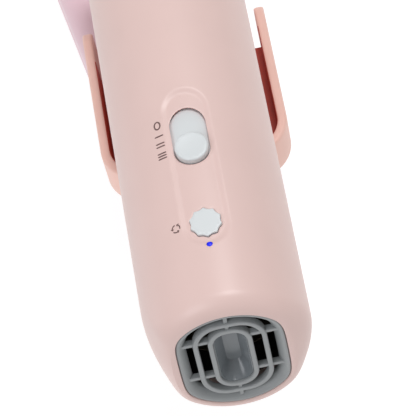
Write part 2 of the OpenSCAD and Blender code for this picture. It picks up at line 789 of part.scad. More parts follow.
barrel_left_shell();
barrel_right_shell();
outlet_grille();
outlet_cup();
heater_tube();
heater_boards();
heater_coil();
thermostat();
thermal_fuse();
fan_housing();
motor_body();
motor_mounts();
motor_shaft();
fan_impeller();
rear_collar();
filter_mesh();
filter_cover();
control_board();
speed_switch();
speed_slider();
slider_carrier();
mode_button();
button_spring();
button_switch();
lamp_lens();
barrel_screws();
hinge_cradle();
cradle_screws();
pivot_tube();
swing_washer();
wave_washer();
pivot_nut();
handle_top_shell();
handle_bottom_shell();
pivot_cap();
handle_screws();
power_board();
capacitor();
ion_generator();
cord_gland();
cord_clamp();
supply_wires();
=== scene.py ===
# %% [markdown]
# A folding hair dryer, dressed for a studio picture. The working model comes from the frame: a round
# barrel with a slanted outlet, a cradle under it, and a tapered handle that swings under the cradle.
# This script makes the surfaces that are seen, out of the same few sizes, and leaves every hidden piece
# as it is packed.

# %% The frame and the sizes
import json
import math

import bmesh
import bpy
import numpy as np
from mathutils import Matrix, Vector


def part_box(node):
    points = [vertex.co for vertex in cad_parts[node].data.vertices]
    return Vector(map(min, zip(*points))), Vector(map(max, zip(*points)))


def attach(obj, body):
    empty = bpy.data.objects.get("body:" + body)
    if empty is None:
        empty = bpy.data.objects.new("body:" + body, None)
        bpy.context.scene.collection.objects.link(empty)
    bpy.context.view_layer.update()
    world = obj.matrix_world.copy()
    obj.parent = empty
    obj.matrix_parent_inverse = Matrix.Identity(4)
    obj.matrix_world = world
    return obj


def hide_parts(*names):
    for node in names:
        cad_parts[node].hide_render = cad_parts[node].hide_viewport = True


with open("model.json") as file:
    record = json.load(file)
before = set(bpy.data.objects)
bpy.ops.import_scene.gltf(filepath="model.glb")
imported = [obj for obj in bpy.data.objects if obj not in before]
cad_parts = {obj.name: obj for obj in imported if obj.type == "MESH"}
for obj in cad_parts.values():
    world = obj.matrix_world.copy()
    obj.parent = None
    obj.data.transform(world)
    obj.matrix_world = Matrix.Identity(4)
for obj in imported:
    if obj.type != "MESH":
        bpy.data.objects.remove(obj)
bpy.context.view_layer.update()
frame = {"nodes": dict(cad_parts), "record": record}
scene = bpy.context.scene

MM = 0.001
shell_lo, shell_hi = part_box("barrel_left_shell")
barrel_r = -shell_lo[0]
axis_z = shell_hi[2] - barrel_r
shell_rear = shell_hi[1]
tilt = math.radians(12)
face_y = -109 * MM
print("barrel radius", round(barrel_r, 4), "axis height", round(axis_z, 4), "rear", round(shell_rear, 4))

# %% [markdown]
# The camera stands over the outlet end and looks down the barrel with a long lens, leaning to one side.
# A long lens keeps the barrel's two edges almost parallel, so the small taper that is left tells how
# far away it is.

# %% The camera
view_azimuth = math.radians(2.9)
view_elevation = math.radians(59)
view_roll = math.radians(-14.07)
view_distance = 0.745
view_aim = Vector((0.0008, -0.050, axis_z))
focal_in_widths = 2200 / 416
sensor_w = 36

back = Vector((math.sin(view_azimuth) * math.cos(view_elevation),
               -math.cos(view_azimuth) * math.cos(view_elevation), math.sin(view_elevation)))
right = Vector((math.cos(view_azimuth), math.sin(view_azimuth), 0))
up = back.cross(right)
cam_x = right * math.cos(view_roll) + up * math.sin(view_roll)
cam_y = up * math.cos(view_roll) - right * math.sin(view_roll)
cam = bpy.data.objects.new("camera", bpy.data.cameras.new("camera"))
cam.data.sensor_width = sensor_w
cam.data.lens = focal_in_widths * sensor_w
cam.matrix_world = Matrix.Translation(view_aim + back * view_distance) @ Matrix(
    (cam_x, cam_y, back)).transposed().to_4x4()
cam.data.clip_start = 0.01
scene.collection.objects.link(cam)
scene.camera = cam
print("lens", round(cam.data.lens, 1), "mm at", view_distance, "m")

# %% [markdown]
# Shader sums are easier to read as sums. This wrapper turns `a * 2 + b` into Math nodes, and one method
# makes any other node from its type, its settings and its sockets.

# %% A shader written as expressions
class Sock:
    """A value inside a shader, with the operators that the materials use."""

    def __init__(self, shader, out):
        self.shader, self.out = shader, out

    def _math(self, operation, a, b):
        return self.shader.node("ShaderNodeMath", {"operation": operation}, {0: a, 1: b})

    def __add__(self, b):
        return self._math("ADD", self, b)

    def __sub__(self, b):
        return self._math("SUBTRACT", self, b)

    def __rsub__(self, a):
        return self._math("SUBTRACT", a, self)

    def __mul__(self, b):
        return self._math("MULTIPLY", self, b)

    def __gt__(self, b):
        return self._math("GREATER_THAN", self, b)

    __radd__ = __add__
    __rmul__ = __mul__


# %% [markdown]
# The second class owns one material. It starts with the Principled node, and every other node is made
# by the same method: the kind of node, its settings, and a value or another result for each socket.

# %% A material with its nodes
class Shader:
    """A material with one Principled node, and a method for every other node."""

    def __init__(self, name):
        self.material = bpy.data.materials.new(name)
        self.material.use_nodes = True
        self.tree = self.material.node_tree
        self.principled = self.tree.nodes["Principled BSDF"]

    def node(self, kind, settings=None, sockets=None, out=0):
        made = self.tree.nodes.new(kind)
        for key, value in (settings or {}).items():
            if key == "stops":
                ramp = made.color_ramp
                for element, (place, colour) in zip(ramp.elements, value):
                    element.position, element.color = place, colour
            else:
                setattr(made, key, value)
        for key, value in (sockets or {}).items():
            self.plug(made.inputs[key], value)
        return Sock(self, made.outputs[out])

    def plug(self, socket, value):
        if isinstance(value, Sock):
            self.tree.links.new(value.out, socket)
        else:
            socket.default_value = value

    def set(self, **values):
        for key, value in values.items():
            self.plug(self.principled.inputs[key.replace("_", " ")], value)
        return self.material

    def where(self):
        return self.node("ShaderNodeTexCoord", out="Object")

    def noise(self, size, detail=3.0, at=None):
        return self.node("ShaderNodeTexNoise", None,
                         {"Vector": at or self.where(), "Scale": 1 / size, "Detail": detail}, out=0)

    def blend(self, factor, a, b):
        return self.node("ShaderNodeMix", {"data_type": "RGBA"}, {0: factor, 6: a, 7: b}, out=2)

    def bump(self, height, depth, strength=1.0):
        return self.node("ShaderNodeBump", None, {"Height": height, "Distance": depth, "Strength": strength})


def shade(colour, k):
    return (colour[0] * k, colour[1] * k, colour[2] * k, 1)


# %% [markdown]
# Moulded plastic is never one flat colour. It has a very fine spark-eroded grain that spreads the
# highlight, a slow drift in tone, and faint scuffs where hands rub it. Each finish below is the same
# recipe with its own numbers, so the pieces look as if they came from one factory.

# %% Moulded plastics
def moulded(name, colour, rough, grain=0.35 * MM, grain_depth=0.012 * MM, drift=0.03, coat=0.0, speck=0.0,
            gloss=0.5):
    s = Shader(name)
    slow = s.noise(18 * MM, 2.0)
    fine = s.noise(grain, 2.0)
    tone = s.blend(slow, shade(colour, 1 - drift), shade(colour, 1 + drift))
    if speck:
        tone = s.blend((s.noise(0.25 * MM, 1.0) > 0.68) * speck, tone, shade(colour, 0.55))
    scuff = s.noise(2.2 * MM, 6.0)
    roughness = scuff * 0.10 + fine * 0.06 + (rough - 0.08)
    return s.set(Base_Color=tone, Roughness=roughness, Coat_Weight=coat, Coat_Roughness=0.25,
                 Normal=s.bump(fine, grain_depth, 0.6), Specular_IOR_Level=gloss)


def metal(name, colour, rough, streak=0.12 * MM):
    s = Shader(name)
    at = s.node("ShaderNodeMapping", None, {"Vector": s.where(), "Scale": (1, 0.08, 1)})
    lines = s.noise(streak, 4.0, at)
    return s.set(Base_Color=s.blend(lines, shade(colour, 0.85), shade(colour, 1.08)), Metallic=1.0,
                 Roughness=lines * 0.18 + (rough - 0.09), Normal=s.bump(lines, 0.01 * MM, 0.5))


# %% [markdown]
# Most finishes are named after the material slot they fill. The colours are linear, so the numbers look
# darker than the object does. Soft and heat-proof pieces have a coarser grain, and metals carry fine
# streaks from turning.

# %% The finishes
finishes = {
    "barrel_pink": moulded("satin_pink_plastic", (0.76, 0.56, 0.523), 0.36, gloss=0.4),
    # painted shade: a deeper red pink for the shell's cut edges, standing in for the shadow in the gaps
    # round the controls
    "shell_inside": moulded("deep_pink_painted_gap_shade", (0.66, 0.20, 0.16), 0.5),
    "cradle_salmon": moulded("salmon_plastic", (0.90, 0.58, 0.50), 0.46, drift=0.04),
    # painted shade: the deep brick red of the tray's inner faces stands in for the shadow inside the U
    "cradle_inside": moulded("brick_painted_shade_inside", (0.56, 0.075, 0.05), 0.5, drift=0.06),
    # painted light: the handle has the barrel's pink paint, and its lilac tint stands in for cool light
    # falling on it
    "handle_lilac": moulded("barrel_pink_painted_cool_light", (0.84, 0.60, 0.66), 0.44),
    "grille_grey": moulded("grey_heat_plastic", (0.31, 0.325, 0.33), 0.42, grain=0.5 * MM,
                           grain_depth=0.02 * MM),
    "cup_grey": moulded("gloss_slate_plastic", (0.20, 0.22, 0.235), 0.24, coat=0.4),
    "control_white": moulded("white_control_plastic", (0.68, 0.71, 0.72), 0.36, coat=0.1, drift=0.015),
    "black_plastic": moulded("black_plastic", (0.03, 0.03, 0.032), 0.5),
    "fan_white": moulded("fan_nylon", (0.72, 0.72, 0.69), 0.5),
    "mica": moulded("mica_sheet", (0.10, 0.085, 0.06), 0.5, grain=0.8 * MM, grain_depth=0.05 * MM, drift=0.2,
                    speck=0.5),
    "board_green": moulded("board_lacquer", (0.02, 0.12, 0.05), 0.3, coat=0.4),
    "gland_grey": moulded("soft_gland", (0.07, 0.07, 0.075), 0.65, grain=0.5 * MM, grain_depth=0.03 * MM),
    "rubber_black": moulded("mount_rubber", (0.02, 0.02, 0.02), 0.7, grain=0.6 * MM, grain_depth=0.03 * MM),
    "capacitor_amber": moulded("amber_resin", (0.5, 0.26, 0.04), 0.25, coat=0.5),
    "wire_red": moulded("wire_insulation", (0.25, 0.03, 0.02), 0.45),
    "heating_wire": metal("heating_wire", (0.30, 0.25, 0.22), 0.45),
    "sensor_metal": metal("plated_sensor", (0.60, 0.48, 0.28), 0.35),
    "steel": metal("turned_steel", (0.55, 0.56, 0.57), 0.3),
    "screw_steel": metal("zinc_screw", (0.58, 0.59, 0.60), 0.35),
    "mesh_steel": metal("mesh_steel", (0.30, 0.31, 0.32), 0.4),
}
print(len(finishes), "finishes without the lamp")

# %% [markdown]
# The lamp is a small blue lens lit from below. It could be a real light, but at this size a little
# emission on its own blue does the same and costs nothing. It is nearly matt, so no highlight washes
# the blue out. The printed marks are a thin matt ink.

# %% Lamp and ink
lamp_shader = Shader("lit_blue_lens")
finishes["lamp_blue"] = lamp_shader.set(Base_Color=(0.002, 0.008, 0.45, 1), Roughness=0.45, Coat_Weight=0.05,
                                        Emission_Color=(0.0, 0.012, 1.0, 1), Emission_Strength=0.5)
ink = moulded("warm_brown_ink", (0.15, 0.085, 0.08), 0.6, drift=0.08)
print(len(finishes), "finishes")

# %% [markdown]
# Every piece goes through one door: its points and faces become an object, its sharp corners are marked
# by angle so that round stretches stay smooth, and it is told which body it rides on and what it
# replaces.

# %% Making a piece
def mark_sharp(bm, angle):
    for face in bm.faces:
        face.smooth = True
    for edge in bm.edges:
        if len(edge.link_faces) == 2:
            edge.smooth = edge.calc_face_angle(0) < angle


def register(obj, body, replaced=()):
    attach(obj, body)
    if replaced:
        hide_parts(*replaced)


def to_mesh(name, parts, material, sharp=35, weld=0.002 * MM, outward=True):
    """Parts are (points, faces) pairs that become one mesh object."""
    bm = bmesh.new()
    for points, faces in parts:
        verts = [bm.verts.new(tuple(p)) for p in points]
        for face in faces:
            if len(set(face)) == len(face):
                bm.faces.new([verts[i] for i in face])
    bmesh.ops.remove_doubles(bm, verts=bm.verts, dist=weld)
    bmesh.ops.dissolve_degenerate(bm, edges=bm.edges, dist=weld / 2)
    if outward:
        bmesh.ops.recalc_face_normals(bm, faces=bm.faces)
    mark_sharp(bm, math.radians(sharp))
    mesh = bpy.data.meshes.new(name)
    bm.to_mesh(mesh)
    bm.free()
    mesh.materials.append(material)
    obj = bpy.data.objects.new(name, mesh)
    scene.collection.objects.link(obj)
    return obj


# %% [markdown]
# Two more tools. One applies the modifiers of a piece, so that it is left as plain faces. The
# other is the loft: rings with the same number of points, joined ring to ring by quads, with a cap on
# either end or none.

# %% Modifiers made real, and lofts
def bake_modifiers(obj, sharp=35):
    """Applies an object's modifiers and marks its sharp edges again."""
    graph = bpy.context.evaluated_depsgraph_get()
    mesh = bpy.data.meshes.new_from_object(obj.evaluated_get(graph), depsgraph=graph)
    obj.modifiers.clear()
    bm = bmesh.new()
    bm.from_mesh(mesh)
    mark_sharp(bm, math.radians(sharp))
    bm.to_mesh(mesh)
    bm.free()
    obj.data = mesh
    return obj


def loft(rings, closed=True, cap_start=False, cap_end=False, loop=False):
    """Joins rings of points, each of the same count, into quads."""
    rings = np.asarray(rings)
    n_rings, count = rings.shape[:2]
    faces = []
    last = n_rings if loop else n_rings - 1
    for j in range(last):
        for i in range(count if closed else count - 1):
            k = (i + 1) % count
            m = (j + 1) % n_rings
            faces.append((j * count + i, j * count + k, m * count + k, m * count + i))
    if cap_start:
        faces.append(tuple(range(count - 1, -1, -1)))
    if cap_end:
        faces.append(tuple((n_rings - 1) * count + i for i in range(count)))
    return rings.reshape(-1, 3), faces


# %% [markdown]
# Outlines come from formulas. A rounded rectangle walks its four corners, a stadium is a special case
# of it, and the grille's edge is a circle with two flat sides whose corners are softened by mixing the
# two radii.

# %% Outlines
def round_rect(w, h, r, count=96):
    """Points round a rounded rectangle, spaced by angle at the corners, starting at the right."""
    points = []
    per = count // 4
    for q, (sx, sy) in enumerate(((1, 1), (-1, 1), (-1, -1), (1, -1))):
        for i in range(per):
            a = math.pi / 2 * (q + i / (per - 1))
            points.append((sx * (w / 2 - r) + r * math.cos(a), sy * (h / 2 - r) + r * math.sin(a)))
    return np.array(points)


def flat_sided(radius, half_w, angles, softness=16):
    """A circle with flat left and right sides, as points at the given angles from the top."""
    flat = half_w / np.maximum(np.abs(np.sin(angles)), 1e-6)
    reach = (radius ** -softness + flat ** -softness) ** (-1 / softness)
    return np.stack([reach * np.sin(angles), reach * np.cos(angles)], 1)


def on_face(points, height):
    """Places outline points on the slanted outlet face, height out along its normal."""
    points = np.asarray(points)
    v = points[:, 1] + grille_up
    height = np.broadcast_to(height, v.shape)
    return np.stack([points[:, 0], face_y + v * math.sin(tilt) - height * math.cos(tilt),
                     axis_z + v * math.cos(tilt) + height * math.sin(tilt)], 1)


def around_axis(radius, angle, y):
    """Points on a circle about the barrel's axis, angle from the top towards +X."""
    return np.stack(np.broadcast_arrays(radius * np.sin(angle), y, axis_z + radius * np.cos(angle)), -1)


def smooth_step(x):
    x = np.clip(x, 0, 1)
    return x * x * (3 - 2 * x)


# %% [markdown]
# The barrel is two moulded halves that meet along the top and bottom. Its skin is one grid: rings that
# start inside the outlet, roll over the lip, dome out to the full round and then run to the rear edge.
# Each control sits in the grid as a dip whose depth depends on the distance to its outline, which gives
# the soft moulded edges that a sharp cut can't. The columns are packed closely along the top, where
# those dips are.

# %% Sizes of the controls
grille_r = 22 * MM
grille_half_w = 18 * MM
grille_up = 0.5 * MM
grille_gap = 0.15 * MM
track_w, track_depth = 15 * MM, 0.8 * MM
track_y = (-79.1 * MM, -19 * MM)
slot_w = 12.8 * MM
slot_y = (-48.4 * MM, -26 * MM)
button_y, button_r = -71.1 * MM, 5.4 * MM
lamp_y, lamp_r = -79.6 * MM, 1.0 * MM
move_gap = 0.3 * MM


# %% [markdown]
# A dip is a depth that depends on how far a point is from an outline. The track eases down over a
# couple of millimetres, and each hole has an edge of its own that rolls over like the corner of a
# moulding.

# %% How a control sinks into the skin
def from_track(s, y, w, ends):
    """Distance outside a track with round ends, negative inside it."""
    lo, hi = ends[0] + w / 2, ends[1] - w / 2
    return np.hypot(s, y - np.clip(y, lo, hi)) - w / 2


def lobed(angle, r, lobes=10, dent=0.105):
    """A scalloped outline: broad hollows between soft crests."""
    return r * (1 + dent * 0.1 - dent * np.sqrt(np.cos(angle * lobes / 2) ** 2 + 0.01))


def rolled(distance, r):
    """How far a moulded edge of radius r has dropped, at a distance outside the hole."""
    t = np.clip(1 - distance / r, 0, 1)
    return r * (1 - np.sqrt(1 - t * t * 0.98))


def control_dip(s, y):
    soft = 2.5 * MM
    dip = track_depth * (1 - smooth_step((from_track(s, y, track_w, track_y) + soft * 0.55) / soft))
    edge = 0.25 * MM
    dip = dip + rolled(from_track(s, y, slot_w, slot_y), edge)
    around = np.hypot(s, y - button_y) - lobed(np.arctan2(y - button_y, s), button_r + move_gap)
    dip = dip + rolled(around, 0.3 * MM)
    return dip + rolled(np.hypot(s, y - lamp_y) - lamp_r, 0.2 * MM)


# %% [markdown]
# One half of the barrel is drawn as rings from the outlet to the rear. The first rings follow the
# grille's edge, the middle ones swell from that edge to the full round along a quarter wave, and the
# rest are plain circles less the dip of the controls. The left side swells later than the right one, as
# on the object.

# %% The rings of one half
fine_angle = math.radians(26)
columns = np.concatenate([np.linspace(0, fine_angle, 56, endpoint=False),
                          np.linspace(fine_angle, math.pi, 80)])


def barrel_rings(side):
    """Rings of (x, y, z) over the columns of one half, side -1 on the left and 1 on the right."""
    face = flat_sided(grille_r + grille_gap, grille_half_w + grille_gap, columns)
    flat = np.stack([face[:, 0], (face[:, 1] + grille_up) * math.cos(tilt)], 1)
    full = barrel_r * np.stack([np.sin(columns), np.cos(columns)], 1)
    room = barrel_r - np.hypot(flat[:, 0], flat[:, 1])
    reach = 5 * MM + 2.2 * np.maximum(room - 5 * MM, 0) + 5 * MM * smooth_step((columns - 1.2) / 1.2)
    flat_side = smooth_step(room / (4 * MM) - 1.3)
    reach = reach + (8 * MM if side < 0 else -4 * MM) * np.sin(columns) ** 2 * flat_side
    away = np.hypot(flat[:, 0], flat[:, 1])[:, None]
    lip = (0.5 * MM + 1.6 * MM * flat_side)[:, None]

    def ring(xz, setback):
        return np.stack([xz[:, 0], face_y + math.tan(tilt) * xz[:, 1] + setback, axis_z + xz[:, 1]], 1)

    rings = [ring(flat, d * MM) for d in (9.5, 5.0, 1.5, 0.5)]
    for a in np.linspace(0, math.pi / 2, 4):
        out = flat * (1 + 0.35 * MM * (1 - math.cos(a)) / away)
        rings.append(ring(out, 0.35 * MM * (1 - math.sin(a))))
    start = flat * (1 + lip / away)
    crease = 0.42 * smooth_step((room - 5.6 * MM) / (3 * MM))
    for share in np.linspace(0, 1, 28):
        t = crease + (math.pi / 2 - crease) * share
        f = ((np.sin(t) - np.sin(crease)) / (1 - np.sin(crease)))[:, None]
        g = (np.cos(crease) - np.cos(t)) / np.cos(crease)
        rings.append(ring(start * (1 - f) + full * f, reach * g))
    joined = rings[-1][:, 1]
    fixed = -84.5 * MM
    for t in (0.25, 0.5, 0.75):
        rings.append(np.stack([full[:, 0], joined * (1 - t) + fixed * t, axis_z + full[:, 1]], 1))
    ys = np.concatenate([np.linspace(fixed, -83 * MM, 6, endpoint=False),
                         np.linspace(-83 * MM, -15.5 * MM, 170, endpoint=False),
                         np.linspace(-15.5 * MM, shell_rear, 26)])
    for y in ys:
        along = np.full_like(columns, y)
        rings.append(around_axis(barrel_r - control_dip(barrel_r * columns, along), columns, along))
    return np.array(rings) * np.array((side, 1, 1))


# %% [markdown]
# Holes are cut along the zero line of a distance, not with a boolean. Each face that the line crosses
# is split just there, so the hole is as smooth as its formula and no face is left in splinters.

# %% Holes with clean edges
def hole_field(s, y):
    """Distance outside the nearest control's hole, negative where the shell is open."""
    button = np.hypot(s, y - button_y) - lobed(np.arctan2(y - button_y, s), button_r + move_gap)
    lamp = np.hypot(s, y - lamp_y) - lamp_r * 1.05
    return np.minimum(np.minimum(from_track(s, y, slot_w, slot_y), button), lamp)


def clipped(points, faces, field):
    """Takes away what lies where field is negative, and splits the faces along its zero line."""
    points, kept, cut = list(points), [], {}
    for face in faces:
        inside = [field[i] < 0 for i in face]
        if not any(inside):
            kept.append(face)
        if all(inside) or not any(inside):
            continue
        new = []
        for a, b in zip(face, face[1:] + face[:1]):
            if field[a] >= 0:
                new.append(a)
            if (field[a] < 0) != (field[b] < 0):
                lo, hi = min(a, b), max(a, b)
                if (lo, hi) not in cut:
                    t = field[lo] / (field[lo] - field[hi])
                    cut[lo, hi] = len(points)
                    points.append(points[lo] * (1 - t) + points[hi] * t)
                new.append(cut[lo, hi])
        kept.append(tuple(new))
    return points, kept


# %% [markdown]
# A skin is only a surface until it is given a wall. Its normals are turned outward first, so that the
# wall grows to the inside and the outer face stays where it was drawn. The cut edges can get a deep
# red pink and the inside black, both painted shade that makes the gaps round the controls look dark.

# %% Skins with a wall
def face_away(obj, middle):
    """Turns an open skin so that its normals point away from a point inside it."""
    bm = bmesh.new()
    bm.from_mesh(obj.data)
    if sum(f.normal.dot(f.calc_center_median() - Vector(middle)) * f.calc_area() for f in bm.faces) < 0:
        bmesh.ops.reverse_faces(bm, faces=bm.faces)
    bm.to_mesh(obj.data)
    bm.free()


def thicken(obj, thickness, sharp=38, rim=None):
    """Gives a skin its wall. With rim, the cut edges get that deep colour and the inside black, as painted
    shade in the gaps.
    """
    modifier = obj.modifiers.new("wall", "SOLIDIFY")
    modifier.thickness, modifier.offset = thickness, -1
    if rim:
        # painted shade: deep red pink on the cut edges and black on the inside, so the gaps look dark
        obj.data.materials.append(rim)
        obj.data.materials.append(finishes["black_plastic"])
        modifier.material_offset, modifier.material_offset_rim = 2, 1
    bake_modifiers(obj, sharp)


# %% [markdown]
# Both halves come from the same rings. The field that opens the holes is asked only above the round of
# the barrel, well behind the outlet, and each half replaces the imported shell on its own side.

# %% The barrel's two halves
for side, node in ((-1, "barrel_left_shell"), (1, "barrel_right_shell")):
    points, faces = loft(barrel_rings(side), closed=False)
    angle = np.arctan2(np.abs(points[:, 0]), points[:, 2] - axis_z)
    field = np.where(points[:, 1] > -90 * MM, hole_field(barrel_r * angle, points[:, 1]), 1)
    skin = to_mesh(node + "_skin", [clipped(points, faces, field)], finishes["barrel_pink"], outward=False)
    face_away(skin, (0, -0.03, axis_z))
    thicken(skin, 1.0 * MM, rim=finishes["shell_inside"])
    register(skin, "barrel", [node])
    print(node, len(skin.data.polygons), "faces")

# %% [markdown]
# The grille is a set of bands: a wide outer frame, two rounded rings and the bars that hold them. A
# band is an outer and an inner outline with a small cross-section lofted between them, so its front
# edges are round all the way along, as they come out of a mould.

# %% Bands
def band(outer, inner, section, place):
    """Lofts a cross-section of (share across the wall, height) round a pair of outlines."""
    rings = [place(outer + (inner - outer) * s, h) for s, h in section]
    return loft(rings, loop=True)


def rounded_section(thickness, low, high, edge, steps=4, slope=0.0):
    """A wall's cross-section, its two front corners rounded; slope drops the inner corner."""
    e = edge / thickness
    section = [(0, low)]
    for a in np.linspace(0, math.pi / 2, steps + 1):
        section.append((e * (1 - math.cos(a)), high - edge * (1 - math.sin(a))))
    for a in np.linspace(math.pi / 2, 0, steps + 1):
        section.append((1 - e * (1 - math.cos(a)), high - slope - edge * (1 - math.sin(a))))
    section.append((1, low))
    return section


# %% [markdown]
# The pieces of the grille share two helpers: a ring of constant wall between two rounded rectangles,
# and a straight bar with soft front edges. Every piece stands on the slanted outlet face.

# %% Rings and bars
grille_depth = 9 * MM
frame_wall = 3.4 * MM
ring_wall = 1.7 * MM
rib_t = 1.4 * MM
ring_depth = 3.6 * MM
turn = np.linspace(0, 2 * math.pi, 144, endpoint=False)


def grille_edge(inset):
    return flat_sided(grille_r - inset, grille_half_w - inset, turn)


def ring_band(w, h, r, front):
    outer = round_rect(w, h, r)
    inner = round_rect(w - 2 * ring_wall, h - 2 * ring_wall, r - ring_wall)
    return band(outer, inner, rounded_section(ring_wall, -ring_depth, front, 0.45 * MM), on_face)


def bar(x0, x1, v0, v1, front, edge=0.35 * MM):
    """A straight bar on the outlet face between two corners, its front edges rounded."""
    centre = np.array(((x0 + x1) / 2, (v0 + v1) / 2))
    size = np.array((x1 - x0, v1 - v0))
    rings = []
    for inset, height in [(0, -ring_depth), (0, front - edge)] + [
            (edge * (1 - math.cos(a)), front - edge * (1 - math.sin(a))) for a in (0.5, 1.0, math.pi / 2)]:
        half = size / 2 - inset
        corners = centre + half * np.array(((-1, -1), (1, -1), (1, 1), (-1, 1)))
        rings.append(on_face(corners, height))
    return loft(rings, cap_start=True, cap_end=True)


# %% [markdown]
# The outer frame slopes inward like a funnel, the two rings stand a little behind it, and the bars are
# set back behind the rings. The upright bars sit on the centre line, the cross bars at unequal heights.

# %% Outlet grille
mid_ring = (24.4 * MM, 35.2 * MM, 9.6 * MM)
inner_ring = (14.6 * MM, 28.8 * MM, 6.6 * MM)
frame_front = -0.4 * MM
funnel = 3.0 * MM
funnel_section = rounded_section(frame_wall, -grille_depth, frame_front, 0.5 * MM)[:6]
for share in (0.32, 0.5, 0.7, 0.88, 1.0):
    funnel_section.append((share, frame_front - funnel * ((share - 0.2) / 0.8) ** 1.4))
funnel_section.append((1.0, -4.6 * MM))
grille_parts = [
    band(grille_edge(0), grille_edge(frame_wall), funnel_section, on_face),
    ring_band(*mid_ring, -0.8 * MM),
    ring_band(*inner_ring, -0.8 * MM),
]
rib_front = -1.4 * MM
for side in (-1, 1):
    for v in (-7.6 * MM, 9.6 * MM):
        ends = sorted((side * (inner_ring[0] / 2 - 0.5 * MM), side * (grille_half_w - 1.2 * MM)))
        grille_parts.append(bar(ends[0], ends[1], v - rib_t / 2, v + rib_t / 2, rib_front))
    ends = sorted((side * (inner_ring[1] / 2 - 0.5 * MM), side * (grille_r - 1.2 * MM)))
    grille_parts.append(bar(-rib_t / 2, rib_t / 2, ends[0], ends[1], rib_front))
grille = to_mesh("outlet_grille_bars", grille_parts, finishes["grille_grey"])
register(grille, "barrel", ["outlet_grille"])
print("outlet grille", len(grille.data.polygons), "faces")

# %% [markdown]
# The middle of the outlet is a closed cup, so the hot air leaves only through the outer gaps. It is
# polished, and its floor is slightly bowed, which draws out the upright bands of light seen in it.

# %% Outlet cup
cup_w, cup_h, cup_r = (inner_ring[0] - 2 * ring_wall - 0.2 * MM, inner_ring[1] - 2 * ring_wall - 0.2 * MM,
                       inner_ring[2] - ring_wall - 0.1 * MM)
cup_edge, cup_floor = -1.8 * MM, -7.4 * MM
trough_w, trough_h, trough_r = 5 * MM, 17 * MM, 1.6 * MM
cup_rings = [on_face(round_rect(cup_w, cup_h, cup_r), h) for h in (-grille_depth, cup_edge)]
cup_rings.append(on_face(round_rect(cup_w - 0.5 * MM, cup_h - 0.5 * MM, cup_r - 0.25 * MM), cup_edge))
for t in (0.0, 0.35, 0.7, 1.0):
    w = (cup_w - 0.7 * MM) * (1 - t) + trough_w * t
    h = (cup_h - 0.7 * MM) * (1 - t) + trough_h * t
    r = (cup_r - 0.35 * MM) * (1 - t) + trough_r * t
    cup_rings.append(on_face(round_rect(w, h, r), cup_edge - 0.3 * MM + (cup_floor - cup_edge) * t ** 0.85))
cup = to_mesh("outlet_cup_liner", [loft(cup_rings, cap_start=True, cap_end=True)],
              finishes["cup_grey"], sharp=20)
register(cup, "barrel", ["outlet_cup"])
print("outlet cup", len(cup.data.polygons), "faces")

# %% [markdown]
# The speed slider is one white moulding: a curved cover plate that follows the barrel under the slot,
# and a round thumb disc that stands through the slot. The disc is turned like a coin, with a soft rim
# and a dished top for the thumb.

# %% Speed slider
def turned(profile, centre, count=96):
    """Revolves (radius, z) points about an upright axis."""
    angles = np.linspace(0, 2 * math.pi, count, endpoint=False)
    rings = [np.stack([centre[0] + r * np.cos(angles), centre[1] + r * np.sin(angles), np.full(count, z)], 1)
             for r, z in profile]
    return loft(rings, cap_start=True, cap_end=True)


slider_lo, slider_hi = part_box("speed_slider")
disc_r = 5.6 * MM
disc_y = slot_y[0] + move_gap + disc_r
disc_top = slider_hi[2]
plate_r = barrel_r - 2.1 * MM
plate_half = 7.6 * MM


def disc_profile():
    rim = 0.7 * MM
    points = [(disc_r, axis_z + plate_r - 1 * MM), (disc_r, disc_top - rim)]
    for a in np.linspace(0, math.pi / 2, 7)[1:]:
        points.append((disc_r - rim * (1 - math.cos(a)), disc_top - rim * (1 - math.sin(a))))
    for t in (0.85, 0.7, 0.5, 0.3, 0.1):
        points.append(((disc_r - rim) * t, disc_top - 0.25 * MM * (1 - t * t)))
    return points


def curved_plate(r_out, thick, half_w, y0, y1):
    """A plate that follows the barrel, its upper edges rounded."""
    edge = 0.3 * MM
    half_angle = half_w / r_out
    across = np.linspace(-1, 1, 25)
    rings = []
    for inset, drop in ((0, thick), (0, edge), (edge * 0.3, edge * 0.3), (edge, 0)):
        y_lo, y_hi = y0 + inset, y1 - inset
        arc = half_angle - inset / r_out
        front = around_axis(r_out - drop, across * arc, y_lo)
        rear = around_axis(r_out - drop, -across * arc, y_hi)
        rings.append(np.concatenate([front, rear]))
    points, faces = loft(rings)
    count = len(across)
    base = len(rings) * 2 * count - 2 * count
    for start in (0, base):
        for i in range(count - 1):
            faces.append((start + i, start + i + 1, start + 2 * count - 2 - i, start + 2 * count - 1 - i))
    return points, faces


# %% [markdown]
# The disc and the cover plate are one piece. The plate is long enough to keep the slot covered wherever
# the disc stands in it.

# %% Slider put together
slider = to_mesh("speed_slider_cap", [
    turned(disc_profile(), (0, disc_y)),
    curved_plate(plate_r, 1.2 * MM, plate_half, slider_lo[1], slider_hi[1])], finishes["control_white"])
register(slider, "slider", ["speed_slider"])
print("speed slider", len(slider.data.polygons), "faces")

# %% [markdown]
# The mode button has ten soft lobes. Its outline is one formula, a circle whose radius follows the size
# of a cosine, which gives round crests and narrow valleys. The hole in the barrel used the same
# formula.

# %% Mode button
button_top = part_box("mode_button")[1][2]
lobe_turn = np.linspace(0, 2 * math.pi, 240, endpoint=False)


def button_ring(inset, z):
    r = lobed(lobe_turn, button_r) - inset
    return np.stack([r * np.cos(lobe_turn), r * np.sin(lobe_turn) + button_y, np.full(len(r), z)], 1)


